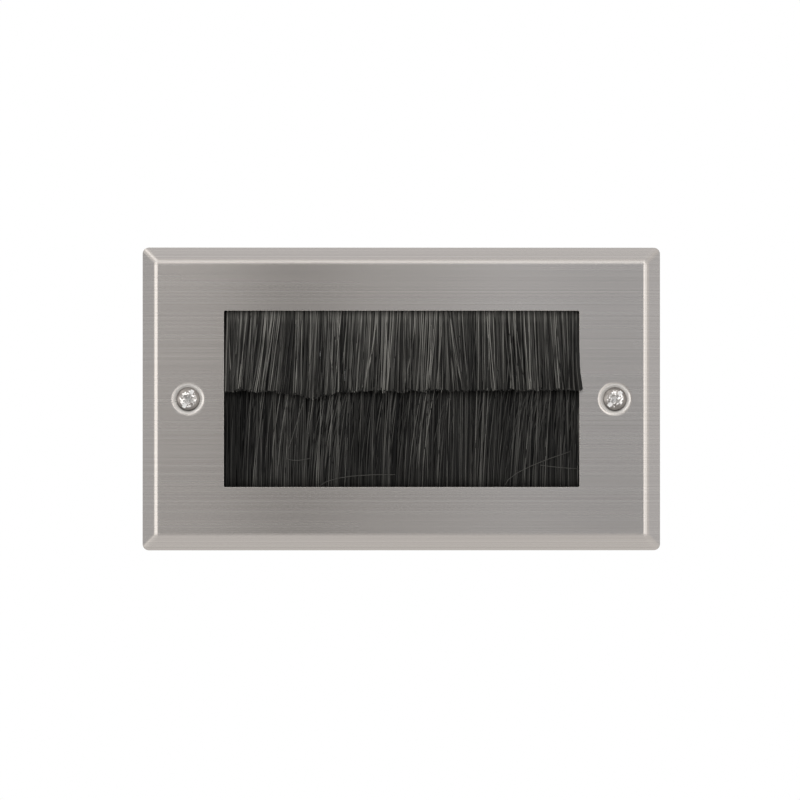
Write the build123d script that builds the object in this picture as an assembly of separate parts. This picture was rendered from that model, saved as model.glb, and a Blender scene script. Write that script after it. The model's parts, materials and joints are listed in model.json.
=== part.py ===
from build123d import *
import math
import os

# Brush wall plate, sizes in millimetres and angles in degrees.
# X runs across the plate, Z is up and the front faces -Y. The wall plane is
# y = 0, and the origin is the middle of the plate in that plane.

# Face plate, pressed from one sheet of stainless steel
PLATE_DEPTH = 4.5
SHEET = 1.0
BEVEL_RUN = 4.1
FOLD_INNER_RADIUS = 1.5
RIM_ROUND = 0.2
SCREW_TO_EDGE = 12.95
RETAINER_TO_EDGE = 9.45
OPENING_HEIGHT = 49.8
OPENING_CORNER = 0.4
OPENING_EDGE_BREAK = 0.12

# Fixing screws and the seats pressed for them
SCREW_SPACING = 120.6
SCREW_DIAMETER = 3.5
SCREW_HOLE = 4.2
SCREW_LENGTH = 25.0
SCREW_POINT = 1.2
SCREW_NECK_DIAMETER = 3.1
SCREW_NECK_LENGTH = 0.7
HEAD_DIAMETER = 6.45
HEAD_EDGE = 0.15
HEAD_DOME = 1.05
SEAT_ANGLE = 90.0
SEAT_DIAMETER = 8.7
SEAT_LAND = 0.7
SEAT_LIP_ROUND = 1.3
SEAT_CLEARANCE = 0.05
RECESS_SPAN = 3.9
RECESS_FLOOR_SPAN = 1.9
RECESS_WIDTH = 0.95
RECESS_FLOOR_WIDTH = 0.55
RECESS_DEPTH = 1.9
SLOT_WIDTH = 1.05
SLOT_DEPTH = 0.78
SLOT_TURN = {"left": 28.0, "right": 42.0}

# Weld studs, washers and nuts behind the plate
STUD_DIAMETER = 3.0
STUD_LENGTH = 8.0
STUD_CHAMFER = 0.4
STUD_FLANGE_DIAMETER = 4.4
STUD_FLANGE_THICKNESS = 0.6
STUD_OUT_FROM_RAIL = 4.0
STUD_HEIGHT = 18.0
WASHER_DIAMETER = 7.0
WASHER_HOLE = 3.2
WASHER_THICKNESS = 0.5
NUT_ACROSS_FLATS = 5.5
NUT_THICKNESS = 2.4
NUT_CHAMFER_ANGLE = 30.0
THREAD_CLEARANCE = 0.05

# Moulded retainer behind the opening
SEAT_TO_RETAINER = 0.936
RETAINER_MARGIN = 0.4
RETAINER_CORNER = 1.5
REAR_WALL = 1.5
SIDE_RAIL = 4.0
ROOF_WALL = 1.5
END_WALL = 1.2
MOUTH_LIP = 1.0
END_LIP = 1.4
LIP_CLEARANCE = 0.15
SIDE_RAIL_WALL = 1.2
SIDE_POCKETS = 4
POCKET_RIB = 1.4
POCKET_FLOOR = 1.6
EAR_RADIUS = 4.2
EAR_THICKNESS = 3.0
EAR_HOLE = 3.4
EAR_RECESS_CLEARANCE = 0.2
STRIP_CLEARANCE = 0.05

# Brush strips: folded channel, core wire and bristles
CHANNEL_WIDTH = 4.0
CHANNEL_HEIGHT = 5.5
CHANNEL_SHEET = 0.5
CHANNEL_JAW = 0.9
CHANNEL_CRIMP = 0.4
CORE_WIRE_DIAMETER = 1.2
ROOT_CLEARANCE = 0.05
JAW_CLEARANCE = 0.1
TUFTS = 106
TUFT_FILL = 0.92
TUFT_STEP_IN = 0.05
TUFT_TIP_SCALE = 0.8
TUFT_RIDGE_ANGLE = 42.0
CURTAIN_LEFT_GAP = 0.7
CURTAIN_RIGHT_GAP = 0.2
TUFT_BEND = 0.35
TUFT_BEND_FORWARD = 0.75
TIP_RAGGEDNESS = 0.45
RAGGED_STEPS = (2.7, 1.31)

# Where the tips of each row end: height, and distance behind the front face
UPPER_TIP_HEIGHT = 2.5
UPPER_TIP_BEHIND_FACE = 0.6
UPPER_RAGGED_PHASE = 0.4
LOWER_TIP_HEIGHT = 4.6
LOWER_TIP_BEHIND_FACE = 3.4
LOWER_RAGGED_PHASE = 1.9

# Clumps that lean sideways: middle and reach as shares of half the opening, and shift of the tips
UPPER_CLUMPS = [(-0.74, 0.18, -2.3), (-0.28, 0.16, -0.9), (0.3, 0.1, 1.0), (0.6, 0.16, 0.5)]
LOWER_CLUMPS = [(-0.48, 0.18, 1.6), (0.06, 0.2, 1.2), (0.6, 0.18, 1.8)]

# Longer tufts, given like the clumps but with how much further they reach
UPPER_LONG_TUFTS = [(-0.5, 0.14, 1.8)]

# The last tufts of the upper row stand out in front of the opening's edge
SPLAYED_TUFTS = 5
SPLAY_CLEARANCE = 0.3
SPLAY_SHIFT = 1.25
SPLAY_SHIFT_AT_EDGE = 0.12
SPLAY_HEIGHT = 9.0

# Planes and places worked out from the sizes above
FACE_Y = -PLATE_DEPTH
BACK_Y = FACE_Y + SHEET
BEVEL_ANGLE = math.atan2(PLATE_DEPTH, BEVEL_RUN)
RIM_LOSS = RIM_ROUND / math.tan(BEVEL_ANGLE / 2) - RIM_ROUND
SEAT_SLOPE = math.tan(math.radians(SEAT_ANGLE / 2))
SEAT_COSINE = math.cos(math.radians(SEAT_ANGLE / 2))
SEAT_SINE = math.sin(math.radians(SEAT_ANGLE / 2))
SCREW_X = SCREW_SPACING / 2
SEAT_HOLE_Y = FACE_Y + (SEAT_DIAMETER - SCREW_HOLE) / 2 / SEAT_SLOPE
SEAT_FLOOR_Y = SEAT_HOLE_Y + SEAT_LAND
SEAT_BACK_RADIUS = SEAT_DIAMETER / 2 - SHEET * SEAT_SLOPE + SHEET / SEAT_COSINE
HEAD_EDGE_Y = FACE_Y + (SEAT_DIAMETER - HEAD_DIAMETER) / 2 / SEAT_SLOPE - SEAT_CLEARANCE / SEAT_SINE

RETAINER_WIDTH = SCREW_SPACING - 2 * (SEAT_BACK_RADIUS + SEAT_TO_RETAINER)
RETAINER_OPENING_WIDTH = RETAINER_WIDTH - 2 * SIDE_RAIL
RETAINER_OPENING_HEIGHT = OPENING_HEIGHT + 2 * RETAINER_MARGIN
OPENING_WIDTH = RETAINER_OPENING_WIDTH - 2 * RETAINER_MARGIN
GROOVE_HEIGHT = CHANNEL_HEIGHT + 2 * STRIP_CLEARANCE
GROOVE_WIDTH = CHANNEL_WIDTH + 2 * STRIP_CLEARANCE
RETAINER_DEPTH = GROOVE_WIDTH + REAR_WALL
GROOVE_BOTTOM_Z = RETAINER_OPENING_HEIGHT / 2 + MOUTH_LIP
GROOVE_TOP_Z = GROOVE_BOTTOM_Z + GROOVE_HEIGHT
RETAINER_HEIGHT = 2 * (GROOVE_TOP_Z + ROOF_WALL)
PLATE_WIDTH = SCREW_SPACING + 2 * SCREW_TO_EDGE
PLATE_HEIGHT = RETAINER_HEIGHT + 2 * RETAINER_TO_EDGE
STRIP_Y = BACK_Y + GROOVE_WIDTH / 2
MOUTH_Z = GROOVE_BOTTOM_Z + STRIP_CLEARANCE
GROOVE_LENGTH = RETAINER_WIDTH - 2 * END_WALL
STRIP_LENGTH = GROOVE_LENGTH - 2 * STRIP_CLEARANCE
STUD_X = RETAINER_WIDTH / 2 + STUD_OUT_FROM_RAIL
STUD_PLACES = [(side * STUD_X, end * STUD_HEIGHT) for end in (1, -1) for side in (-1, 1)]

CHANNEL_INNER = CHANNEL_WIDTH - 2 * CHANNEL_SHEET
ROOT_THICKNESS = CHANNEL_INNER - 2 * ROOT_CLEARANCE
NECK_THICKNESS = CHANNEL_INNER - 2 * CHANNEL_CRIMP - 2 * JAW_CLEARANCE
ROOT_ROUND_Z = CHANNEL_HEIGHT - CHANNEL_WIDTH / 2
CURTAIN_LEFT = -OPENING_WIDTH / 2 + CURTAIN_LEFT_GAP
CURTAIN_RIGHT = OPENING_WIDTH / 2 - CURTAIN_RIGHT_GAP
TUFT_PITCH = (CURTAIN_RIGHT - CURTAIN_LEFT) / TUFTS
TUFT_WIDTH = TUFT_PITCH * TUFT_FILL
TUFT_DEPTH = NECK_THICKNESS - 2 * TUFT_STEP_IN
NECK_END_Z = GROOVE_BOTTOM_Z - MOUTH_LIP


def slab(width, height, corner, front_y, back_y):
    """Rounded rectangle seen from the front, from front_y back to back_y."""
    outline = RectangleRounded(width, height, corner)
    return extrude(Plane.XZ.offset(-back_y) * outline, back_y - front_y)


def turned(points):
    """Solid of revolution about the Y axis from a closed outline of (radius, y) points."""
    return revolve(make_face(Polyline(*points, close=True)), Axis.Y)


def at_wall(solid, x, z):
    """The solid moved across the wall plane."""
    return Pos(x, 0, z) * solid


def pressed_block(inset, fold_radius):
    """The space under the four bevels and the front face, moved in by inset."""
    side_shift = inset / math.sin(BEVEL_ANGLE)
    half_width = PLATE_WIDTH / 2 + RIM_LOSS - side_shift
    half_height = PLATE_HEIGHT / 2 + RIM_LOSS - side_shift
    depth = PLATE_DEPTH - inset
    run = depth / math.tan(BEVEL_ANGLE)
    across = [(-half_width, 0), (half_width, 0), (half_width - run, -depth), (run - half_width, -depth)]
    upright = [(0, -half_height), (0, half_height)]
    upright += [(-depth, half_height - run), (-depth, run - half_height)]
    across_bar = extrude(make_face(Polyline(*across, close=True)), PLATE_HEIGHT, both=True)
    upright_bar = extrude(Plane.YZ * make_face(Polyline(*upright, close=True)), PLATE_WIDTH, both=True)
    block = across_bar & upright_bar
    mitres = block.edges().filter_by(Axis.X, reverse=True).filter_by(Axis.Z, reverse=True)
    folds = block.faces().sort_by(Axis.Y)[0].edges()
    return fillet(list(mitres) + list(folds), fold_radius)


def seat_boss():
    """Metal pushed out behind the face around one screw."""
    back = SEAT_BACK_RADIUS
    floor = back - (SEAT_FLOOR_Y - BACK_Y) * SEAT_SLOPE
    root_y = BACK_Y - SHEET / 2
    outline = [(0, root_y), (back, root_y), (back, BACK_Y), (floor, SEAT_FLOOR_Y), (0, SEAT_FLOOR_Y)]
    return turned(outline)


def seat_cut():
    """Conical seat and clearance hole for one screw."""
    front_y = FACE_Y - SHEET
    behind_y = SEAT_FLOOR_Y + SHEET
    seat = SEAT_DIAMETER / 2
    hole = SCREW_HOLE / 2
    outline = [(0, front_y), (seat, front_y), (seat, FACE_Y), (hole, SEAT_HOLE_Y)]
    return turned(outline + [(hole, behind_y), (0, behind_y)])


def face_plate():
    """Bevelled sheet with the cable opening and two pressed screw seats."""
    outside = pressed_block(0, FOLD_INNER_RADIUS + SHEET)
    outside = fillet(outside.faces().sort_by(Axis.Y)[-1].edges(), RIM_ROUND)
    plate = outside - pressed_block(SHEET, FOLD_INNER_RADIUS)
    plate -= slab(OPENING_WIDTH, OPENING_HEIGHT, OPENING_CORNER, FACE_Y - SHEET, BACK_Y + SHEET)
    for x in (-SCREW_X, SCREW_X):
        plate += at_wall(seat_boss(), x, 0)
        plate -= at_wall(seat_cut(), x, 0)
    front = plate.faces().filter_by(Axis.Y).sort_by(Axis.Y)[0]
    lips = [edge for wire in front.inner_wires() for edge in wire.edges() if wire.length < OPENING_WIDTH]
    plate = fillet(lips, SEAT_LIP_ROUND)
    front = plate.faces().filter_by(Axis.Y).sort_by(Axis.Y)[0]
    opening = [edge for wire in front.inner_wires() for edge in wire.edges() if wire.length > OPENING_WIDTH]
    return fillet(opening, OPENING_EDGE_BREAK)


def driver_recess():
    """Slot right across a screw head, with a deeper tapered cross at its middle."""
    mouth_y = HEAD_EDGE_Y - HEAD_EDGE - HEAD_DOME
    mouth = Plane.XZ.offset(-mouth_y)
    floor = Plane.XZ.offset(-mouth_y - RECESS_DEPTH)
    arms = []
    for turn in (0, 90):
        top = mouth * Rot(0, 0, turn) * Rectangle(RECESS_SPAN, RECESS_WIDTH)
        bottom = floor * Rot(0, 0, turn) * Rectangle(RECESS_FLOOR_SPAN, RECESS_FLOOR_WIDTH)
        arms.append(loft([bottom, top], ruled=True))
    slot = Pos(0, mouth_y, 0) * Box(SLOT_WIDTH, 2 * SLOT_DEPTH, 2 * HEAD_DIAMETER)
    return arms[0] + arms[1] + slot


def fixing_screw(turn):
    """Raised countersunk screw on the Y axis, its slot turned from the upright."""
    shank = SCREW_DIAMETER / 2
    neck = SCREW_NECK_DIAMETER / 2
    head = HEAD_DIAMETER / 2
    tip_y = HEAD_EDGE_Y + SCREW_LENGTH
    neck_y = HEAD_EDGE_Y + (head - neck) / SEAT_SLOPE
    thread_y = neck_y + SCREW_NECK_LENGTH
    rim_y = HEAD_EDGE_Y - HEAD_EDGE
    dome_radius = (head**2 + HEAD_DOME**2) / (2 * HEAD_DOME)
    line = Polyline(
        (0, rim_y - HEAD_DOME),
        (0, tip_y),
        (shank - SCREW_POINT / 2, tip_y),
        (shank, tip_y - SCREW_POINT),
        (shank, thread_y),
        (neck, thread_y - (shank - neck)),
        (neck, neck_y),
        (head, HEAD_EDGE_Y),
        (head, rim_y),
    )
    middle = (head / 2, rim_y - HEAD_DOME + dome_radius - math.sqrt(dome_radius**2 - (head / 2) ** 2))
    dome = ThreePointArc((head, rim_y), middle, (0, rim_y - HEAD_DOME))
    screw = revolve(make_face([line, dome]), Axis.Y)
    return screw - Rot(0, turn, 0) * driver_recess()


def weld_stud():
    """Stud with its weld flange on the back of the sheet, on the Y axis."""
    flange = STUD_FLANGE_DIAMETER / 2
    shank = STUD_DIAMETER / 2
    shoulder_y = BACK_Y + STUD_FLANGE_THICKNESS
    tip_y = BACK_Y + STUD_LENGTH
    outline = [(0, BACK_Y), (flange, BACK_Y), (flange, shoulder_y), (shank, shoulder_y)]
    outline += [(shank, tip_y - STUD_CHAMFER), (shank - STUD_CHAMFER, tip_y), (0, tip_y)]
    return turned(outline)


def washer():
    """Plain washer on the rear face of a retainer ear, on the Y axis."""
    front_y = BACK_Y + EAR_THICKNESS
    back_y = front_y + WASHER_THICKNESS
    bore = WASHER_HOLE / 2
    rim = WASHER_DIAMETER / 2
    return turned([(bore, front_y), (rim, front_y), (rim, back_y), (bore, back_y)])


def nut():
    """Hexagon nut on the washer, chamfered at both ends, on the Y axis."""
    front_y = BACK_Y + EAR_THICKNESS + WASHER_THICKNESS
    back_y = front_y + NUT_THICKNESS
    hexagon = RegularPolygon(NUT_ACROSS_FLATS / 2, 6, major_radius=False)
    body = extrude(Plane.XZ.offset(-back_y) * hexagon, NUT_THICKNESS)
    flat = NUT_ACROSS_FLATS / 2
    corner = flat / math.cos(math.pi / 6)
    drop = (corner - flat) * math.tan(math.radians(NUT_CHAMFER_ANGLE))
    outline = [(0, front_y), (flat, front_y), (corner, front_y + drop)]
    body &= turned(outline + [(corner, back_y - drop), (flat, back_y), (0, back_y)])
    bore = STUD_DIAMETER / 2 + THREAD_CLEARANCE
    return body - turned([(0, front_y), (bore, front_y), (bore, back_y), (0, back_y)])


def retainer_ear(side):
    """Lug that takes one stud, joined to the side rail it stands out from."""
    back_y = BACK_Y + EAR_THICKNESS
    root_x = side * (RETAINER_WIDTH / 2 - SIDE_RAIL / 2)
    tip_x = side * STUD_X
    bridge = Pos((root_x + tip_x) / 2, 0) * Rectangle(abs(tip_x - root_x), 2 * EAR_RADIUS)
    ear = extrude(Plane.XZ.offset(-back_y) * (bridge + Pos(tip_x, 0) * Circle(EAR_RADIUS)), EAR_THICKNESS)
    recess = STUD_FLANGE_DIAMETER / 2 + EAR_RECESS_CLEARANCE
    recess_y = BACK_Y + STUD_FLANGE_THICKNESS + EAR_RECESS_CLEARANCE
    hole = EAR_HOLE / 2
    outline = [(0, BACK_Y), (recess, BACK_Y), (recess, recess_y), (hole, recess_y), (hole, back_y)]
    return ear - Pos(tip_x, 0, 0) * turned(outline + [(0, back_y)])


def strip_groove():
    """Groove of the upper rail, open to the plate, and its mouth above the rear lip."""
    groove = Box(GROOVE_LENGTH, 2 * GROOVE_WIDTH, GROOVE_HEIGHT)
    groove_z = (GROOVE_BOTTOM_Z + GROOVE_TOP_Z) / 2
    mouth_depth = STRIP_Y + NECK_THICKNESS / 2 + LIP_CLEARANCE - BACK_Y
    mouth = Box(RETAINER_OPENING_WIDTH, 2 * mouth_depth, 2 * MOUTH_LIP)
    mouth_z = GROOVE_BOTTOM_Z - MOUTH_LIP / 2
    return Pos(0, BACK_Y, groove_z) * groove + Pos(0, BACK_Y, mouth_z) * mouth


def side_pockets():
    """Lightening pockets open to the rear, between ribs in both side rails."""
    span = RETAINER_OPENING_HEIGHT
    pitch = span / SIDE_POCKETS
    floor_y = BACK_Y + POCKET_FLOOR
    depth = RETAINER_DEPTH - POCKET_FLOOR
    pocket = Box(SIDE_RAIL - 2 * SIDE_RAIL_WALL, 2 * depth, pitch - POCKET_RIB)
    rail_x = (RETAINER_OPENING_WIDTH + SIDE_RAIL) / 2
    heights = [(i + 1 / 2) * pitch - span / 2 for i in range(SIDE_POCKETS)]
    return [Pos(x, floor_y + depth, z) * pocket for x in (-rail_x, rail_x) for z in heights]


def brush_retainer():
    """Moulded frame that holds both strips against the plate, with lips behind the row ends."""
    back_y = BACK_Y + RETAINER_DEPTH
    sight_width = RETAINER_OPENING_WIDTH - 2 * END_LIP
    frame = slab(RETAINER_WIDTH, RETAINER_HEIGHT, RETAINER_CORNER, BACK_Y, back_y)
    frame -= slab(sight_width, RETAINER_OPENING_HEIGHT, OPENING_CORNER, BACK_Y, back_y)
    lip_y = BACK_Y + GROOVE_WIDTH
    frame -= slab(RETAINER_OPENING_WIDTH, RETAINER_OPENING_HEIGHT, OPENING_CORNER, BACK_Y, lip_y)
    groove = strip_groove()
    frame -= groove
    frame -= mirror(groove, Plane.XY)
    frame -= side_pockets()
    for x, z in STUD_PLACES:
        frame += at_wall(retainer_ear(math.copysign(1, x)), 0, z)
    return frame


def strip_section(width, height, round_z, neck_width, neck_z):
    """Outline across an upper strip: round at the top, drawn in to a neck at z = 0."""
    side = width / 2
    neck = neck_width / 2
    left = [(-side, round_z), (-side, neck_z), (-neck, 0)]
    path = Polyline(*left, (neck, 0), (side, neck_z), (side, round_z))
    roof = ThreePointArc((side, round_z), (0, height), (-side, round_z))
    return Plane.YZ * make_face([path, roof])


def strip_length(section, length):
    """The section drawn out along X at the place of the upper strip."""
    return Pos(0, STRIP_Y, MOUTH_Z) * extrude(section, length / 2, both=True)


def channel():
    """Folded channel of the upper strip, its jaws crimped in at the mouth."""
    outer_neck = CHANNEL_WIDTH - 2 * CHANNEL_CRIMP
    inner_neck = CHANNEL_INNER - 2 * CHANNEL_CRIMP
    outer = strip_section(CHANNEL_WIDTH, CHANNEL_HEIGHT, ROOT_ROUND_Z, outer_neck, CHANNEL_JAW)
    inner_top = CHANNEL_HEIGHT - CHANNEL_SHEET
    inner = strip_section(CHANNEL_INNER, inner_top, ROOT_ROUND_Z, inner_neck, CHANNEL_JAW)
    return strip_length(outer, STRIP_LENGTH) - strip_length(inner, STRIP_LENGTH)


def core_wire():
    """Wire that the bristles of the upper strip are folded round."""
    wire = Plane.YZ * Pos(0, ROOT_ROUND_Z) * Circle(CORE_WIRE_DIAMETER / 2)
    return strip_length(wire, STRIP_LENGTH)


def bristle_root():
    """Bristles packed round the core wire in the upper channel, and squeezed flat at its mouth."""
    top = CHANNEL_HEIGHT - CHANNEL_SHEET - ROOT_CLEARANCE
    neck_z = CHANNEL_JAW + ROOT_CLEARANCE
    section = strip_section(ROOT_THICKNESS, top, ROOT_ROUND_Z, NECK_THICKNESS, neck_z)
    bore = Plane.YZ * Pos(0, ROOT_ROUND_Z) * Circle(CORE_WIRE_DIAMETER / 2 + ROOT_CLEARANCE)
    root = strip_length(section, STRIP_LENGTH) - strip_length(bore, STRIP_LENGTH)
    neck_top = MOUTH_Z + CHANNEL_JAW / 2
    neck = Box(CURTAIN_RIGHT - CURTAIN_LEFT, NECK_THICKNESS, neck_top - NECK_END_Z)
    return root + Pos((CURTAIN_LEFT + CURTAIN_RIGHT) / 2, STRIP_Y, (neck_top + NECK_END_Z) / 2) * neck


def tuft_section(x, y, z, scale):
    """Five corners across one tuft, with a ridge along its front."""
    side = TUFT_WIDTH * scale / 2
    deep = TUFT_DEPTH * scale / 2
    shoulder = deep - side * math.tan(math.radians(TUFT_RIDGE_ANGLE))
    corners = [(-side, deep), (side, deep), (side, -shoulder), (0, -deep), (-side, -shoulder)]
    return [Vector(x + dx, y + dy, z) for dx, dy in corners]


def tuft(stations):
    """Solid through the sections at the stations, each (x, y, z, scale)."""
    sections = [tuft_section(*station) for station in stations]
    faces = [Face(Wire.make_polygon(sections[0])), Face(Wire.make_polygon(sections[-1]))]
    for near, far in zip(sections, sections[1:]):
        for i in range(len(near)):
            j = (i + 1) % len(near)
            faces.append(Face(Wire.make_polygon([near[i], near[j], far[j], far[i]])))
    return Solid(Shell(faces))


def tuft_x(index):
    """Where the tuft starts along its strip."""
    return CURTAIN_LEFT + (index + 1 / 2) * TUFT_PITCH


def at_clumps(x, clumps):
    """What the clumps add for the tuft that starts at x, fading out around each clump."""
    along = x / (OPENING_WIDTH / 2)
    return sum(shift * math.exp(-(((along - middle) / reach) ** 2)) for middle, reach, shift in clumps)


def ragged(index, phase):
    """Uneven tip height from -1 to 1, different for neighbouring tufts."""
    fast, slow = RAGGED_STEPS
    return math.sin(index * fast + phase) * math.cos(index * slow + 2 * phase)


def hanging_tuft(index, tip_height, tip_y, clumps, phase):
    """Stations of one tuft, from its root in the neck of an upper row down to its tip."""
    x = tuft_x(index)
    root_z = NECK_END_Z + MOUTH_LIP / 2
    tip_z = tip_height + TIP_RAGGEDNESS * ragged(index, phase)
    middle_y = STRIP_Y + (tip_y - STRIP_Y) * TUFT_BEND_FORWARD
    middle_z = NECK_END_Z + (tip_z - NECK_END_Z) * TUFT_BEND
    middle_scale = (1 + TUFT_TIP_SCALE) / 2
    shift = at_clumps(x, clumps)
    middle = (x + shift * TUFT_BEND, middle_y, middle_z, middle_scale)
    return [(x, STRIP_Y, root_z, 1), middle, (x + shift, tip_y, tip_z, TUFT_TIP_SCALE)]


def splayed(stations, share):
    """The tuft sprung forward by its share, the last one right out of the opening."""
    root, middle, tip = stations
    clear_y = FACE_Y - SPLAY_CLEARANCE - TUFT_DEPTH * TUFT_TIP_SCALE / 2
    edge_x = middle[0] + SPLAY_SHIFT_AT_EDGE * share
    edge_y = middle[1] + (clear_y - middle[1]) * share
    tip_x = tip[0] + SPLAY_SHIFT * share**2
    tip_y = tip[1] + (clear_y - SPLAY_CLEARANCE - tip[1]) * share
    edge = (edge_x, edge_y, SPLAY_HEIGHT, TUFT_TIP_SCALE)
    return [root, edge, (tip_x, tip_y, tip[2], TUFT_TIP_SCALE)]


def upper_bristles():
    """Front row of bristles, hanging down through the opening."""
    tip_y = FACE_Y + UPPER_TIP_BEHIND_FACE
    tufts = []
    for index in range(TUFTS):
        height = UPPER_TIP_HEIGHT - at_clumps(tuft_x(index), UPPER_LONG_TUFTS)
        stations = hanging_tuft(index, height, tip_y, UPPER_CLUMPS, UPPER_RAGGED_PHASE)
        share = 1 - (TUFTS - 1 - index) / SPLAYED_TUFTS
        tufts.append(tuft(splayed(stations, share) if share > 0 else stations))
    return bristle_root().fuse(*tufts)


def lower_bristles():
    """Rear row of bristles, standing up behind the tips of the front row."""
    tip_y = FACE_Y + LOWER_TIP_BEHIND_FACE
    tufts = []
    for index in range(TUFTS):
        stations = hanging_tuft(index, -LOWER_TIP_HEIGHT, tip_y, LOWER_CLUMPS, LOWER_RAGGED_PHASE)
        tufts.append(tuft(stations))
    return mirror(bristle_root().fuse(*tufts), Plane.XY)


def build_parts():
    """Every node's solid by name."""
    parts = {"face_plate": face_plate(), "brush_retainer": brush_retainer()}
    parts["upper_bristles"] = upper_bristles()
    parts["lower_bristles"] = lower_bristles()
    parts["upper_channel"] = channel()
    parts["lower_channel"] = mirror(channel(), Plane.XY)
    parts["upper_core_wire"] = core_wire()
    parts["lower_core_wire"] = mirror(core_wire(), Plane.XY)
    for side, x in (("left", -SCREW_X), ("right", SCREW_X)):
        parts[f"fixing_screw_{side}"] = at_wall(fixing_screw(SLOT_TURN[side]), x, 0)
    for number, (x, z) in enumerate(STUD_PLACES, 1):
        parts[f"weld_stud_{number}"] = at_wall(weld_stud(), x, z)
        parts[f"washer_{number}"] = at_wall(washer(), x, z)
        parts[f"nut_{number}"] = at_wall(nut(), x, z)
    return parts


os.makedirs("parts", exist_ok=True)
for name, part in build_parts().items():
    export_step(part, os.path.join("parts", f"{name}.step"))
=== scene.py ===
import json
import math
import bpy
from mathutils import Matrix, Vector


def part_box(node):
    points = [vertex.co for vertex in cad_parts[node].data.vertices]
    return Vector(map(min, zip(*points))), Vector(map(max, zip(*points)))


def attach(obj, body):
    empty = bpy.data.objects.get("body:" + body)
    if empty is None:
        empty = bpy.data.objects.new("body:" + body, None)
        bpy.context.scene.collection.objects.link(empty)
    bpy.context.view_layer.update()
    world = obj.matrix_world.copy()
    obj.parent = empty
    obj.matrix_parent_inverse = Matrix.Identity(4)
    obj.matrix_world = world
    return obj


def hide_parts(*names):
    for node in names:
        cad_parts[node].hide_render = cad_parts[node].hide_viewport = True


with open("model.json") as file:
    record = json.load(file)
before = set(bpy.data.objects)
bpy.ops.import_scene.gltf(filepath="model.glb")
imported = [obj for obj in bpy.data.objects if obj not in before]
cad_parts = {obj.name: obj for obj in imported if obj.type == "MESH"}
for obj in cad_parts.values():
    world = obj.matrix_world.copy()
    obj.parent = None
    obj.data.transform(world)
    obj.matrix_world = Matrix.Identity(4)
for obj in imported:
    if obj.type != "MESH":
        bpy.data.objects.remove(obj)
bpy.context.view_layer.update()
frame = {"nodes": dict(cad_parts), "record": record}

from types import SimpleNamespace

import bpy
import numpy as np
from mathutils import Vector

# Brush wall plate, in metres. X runs across the plate, Z is up and the front faces -Y.
MM = 0.001
NODES = frame["nodes"]

# The plate and its opening
FACE_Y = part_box("face_plate")[0].y
OPENING_HALF_WIDTH = 50.2 * MM
OPENING_HALF_HEIGHT = 24.9 * MM

# Screws, one at each side at SCREW_X from the middle, and their seats in the plate. Their tip tapers to
# POINT_SHARE of the core. A vertex within ON_SURFACE of a surface counts as on it
SCREW_X = 60.3 * MM
SCREW_RADIUS = 1.75 * MM
SCREW_PITCH = 0.6 * MM
NECK_RADIUS = 1.55 * MM
POINT_LENGTH = 1.2 * MM
POINT_SHARE = 0.6
HEAD_RADIUS = 3.2 * MM
HEAD_DOME = 1.05 * MM
HEAD_BACK_Y = FACE_Y + 2.5 * MM
SLOT_FLOOR_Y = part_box("fixing_screw_left")[0].y + 0.8 * MM
SEAT_RADIUS = 4.35 * MM
COINED_RADIUS = 2.35 * MM
ON_SURFACE = 0.01 * MM

# What counts as the driver recess: this far below the head's dome, and not its outer rim
RECESS_MARGIN = 0.06 * MM
RIM_SLOPE = 0.5

# Places of the head's and the recess's materials in a screw's list
HEAD_MATERIAL = 1
RECESS_MATERIAL = 2

# Weld studs
STUD_NUMBERS = (1, 2, 3, 4)
STUD_RADIUS = 1.5 * MM
STUD_PITCH = 0.5 * MM
STUD_FLANGE_RADIUS = 2.2 * MM
STUD_FLANGE_THICKNESS = 0.6 * MM
STUD_CHAMFER = 0.4 * MM

# Threads. THREAD_DEPTH and the ridge's half widths are shares of the pitch, and RIDGE_FOOT is a share of
# the core's radius. The ridge rises and runs out over RUN_OUT_TURNS, from RIDGE_LEAST_RISE of its height
THREAD_DEPTH = 0.61
THREAD_STEPS = 24
RIDGE_HALF_BASE = 0.44
RIDGE_HALF_CREST = 0.07
RIDGE_FOOT = 0.97
RIDGE_LEAST_RISE = 0.05
RUN_OUT_TURNS = 0.5
SHARP_ANGLE = math.radians(30)

# Filaments of the two rows of bristles. Layer 0 is in front, and the front layers are thinned out
FILAMENT_DIAMETER = 0.26 * MM
FILAMENT_TAPER = 0.85
FILAMENT_SIDES = 4
FILAMENT_SPANS = 5
FILAMENT_STEP = 0.255 * MM
LAYERS = 8
LAYER_STEP = 0.235 * MM
FRONT_LAYERS = 4
FRONT_SHARE = 0.78
ROW_LEFT = -OPENING_HALF_WIDTH + 0.7 * MM
ROW_RIGHT = OPENING_HALF_WIDTH - 0.2 * MM
ROW_LIMIT = OPENING_HALF_WIDTH - 0.15 * MM
ROW_Y = -1.45 * MM
ROOT_Z = OPENING_HALF_HEIGHT + 1.0 * MM

# Stations along a filament, from 0 at its root to 1 at its tip
STATIONS = np.linspace(0.0, 1.0, FILAMENT_SPANS + 1)

# How freely the filaments lie, from this in the rear layer to 1 in the front one, and how far their
# roots stray from their layer, as a share of the step between layers
REAR_LOOSENESS = 0.15
ROOT_SCATTER = 0.4

# How they gather into clumps of uneven width, and how far clumps and filaments stray
CLUMP_WIDTH = 0.9 * MM
CLUMP_STAGGER = 0.37
CLUMP_WAVE = 0.3
CLUMP_WAVE_LENGTH = 1.0 * MM
CLUMP_LEAN = 0.36 * MM
CLUMP_GATHER = (0.3, 0.95)
SCATTER = 0.38 * MM
BEND = 0.12 * MM

# Powers with which a filament's lean and its reach forward grow towards its tip, what is added for a
# swept one, and how the layers close up there
LEAN_CURVE = 1.15
SWEPT_CURVE = 0.5
FORWARD_CURVE = 1.4
CLOSING_UP = 0.25

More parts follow.
